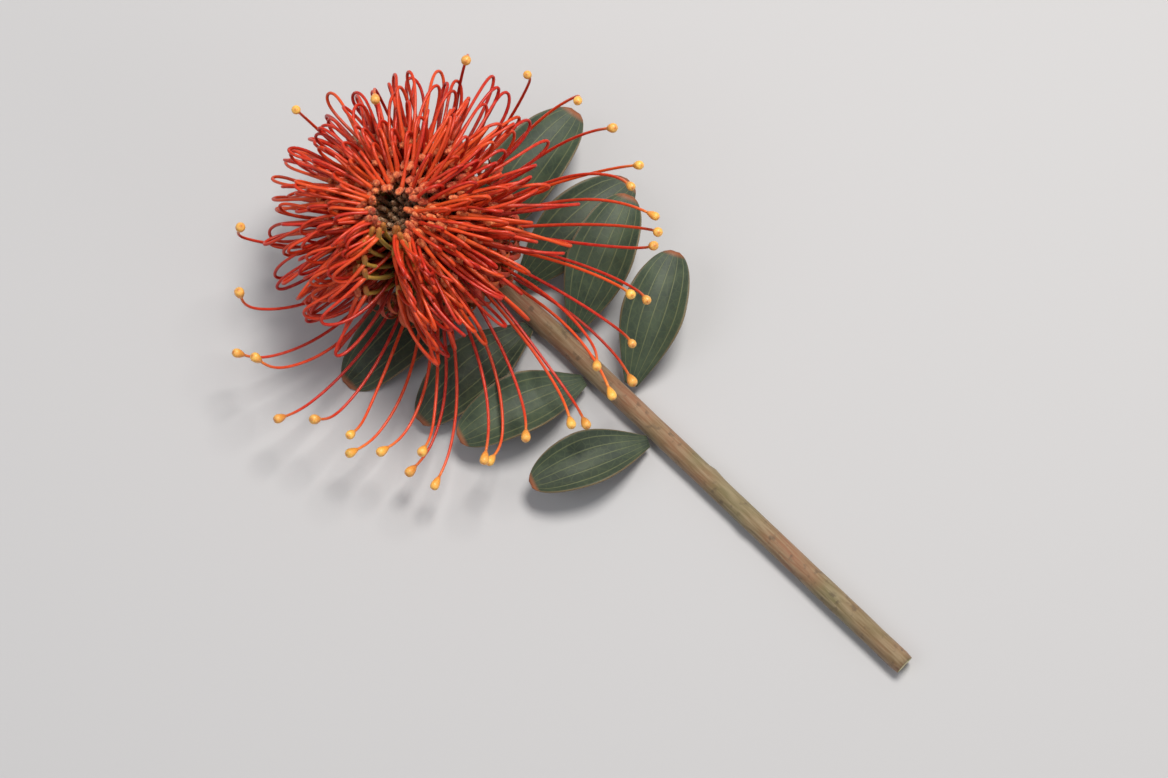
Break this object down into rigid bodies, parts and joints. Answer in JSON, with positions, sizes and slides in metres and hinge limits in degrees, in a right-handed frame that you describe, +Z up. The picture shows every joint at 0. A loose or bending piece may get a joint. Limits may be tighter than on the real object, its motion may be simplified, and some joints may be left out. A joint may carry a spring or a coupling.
{
  "type": "pincushion protea flower",
  "caption": "Cut pincushion protea lying on its side: a dome of looped red florets with free, yellow-tipped styles around it, on a bent leafy stem.",
  "frame": {"origin": "bottom centre of the bounding box of the flower as it lies, on the surface it rests on", "axes": "+X from the flower head towards the cut end of the stem; +Z up; the head leans towards -Y"},
  "size_m": [0.2361, 0.133, 0.0704],
  "materials": {
    "stem": "woody, finely hairy, matt",
    "wool": "woolly hairs, matt",
    "bud": "closed buds with woolly tips, matt",
    "floret": "waxy petal tissue, satin",
    "style": "waxy, satin, with a yellow-orange tip",
    "leaf": "leathery, finely hairy, satin"
  },
  "bodies": {
    "root": {"stem": "stem", "receptacle": "wool", "involucre": "wool", "young_florets": "bud", "floret_row_01": "floret", "floret_row_02": "floret", "floret_row_03": "floret", "floret_row_04": "floret", "floret_row_05": "floret", "floret_row_06": "floret", "floret_row_07": "floret", "floret_row_08": "floret", "floret_row_09": "floret", "floret_row_10": "floret", "floret_row_11": "floret", "floret_row_12": "floret", "floret_row_13": "floret", "free_floret_01": "style", "free_floret_02": "style", "free_floret_03": "style", "free_floret_04": "style", "free_floret_05": "style", "free_floret_06": "style", "free_floret_07": "style", "free_floret_08": "style", "free_floret_09": "style", "free_floret_10": "style", "free_floret_11": "style", "free_floret_12": "style", "free_floret_13": "style", "free_floret_14": "style", "free_floret_15": "style", "free_floret_16": "style", "free_floret_17": "style", "free_floret_18": "style", "free_floret_19": "style", "free_floret_20": "style", "free_floret_21": "style", "free_floret_22": "style", "free_floret_23": "style", "free_floret_24": "style", "free_floret_25": "style", "free_floret_26": "style", "free_floret_27": "style", "free_floret_28": "style", "free_floret_29": "style", "free_floret_30": "style", "free_floret_31": "style", "free_floret_32": "style", "free_floret_33": "style", "free_floret_34": "style", "leaf_1": "leaf", "leaf_2": "leaf", "leaf_3": "leaf", "leaf_4": "leaf", "leaf_5": "leaf", "leaf_6": "leaf", "leaf_7": "leaf", "leaf_8": "leaf", "leaf_9": "leaf"}
  },
  "joints": []
}
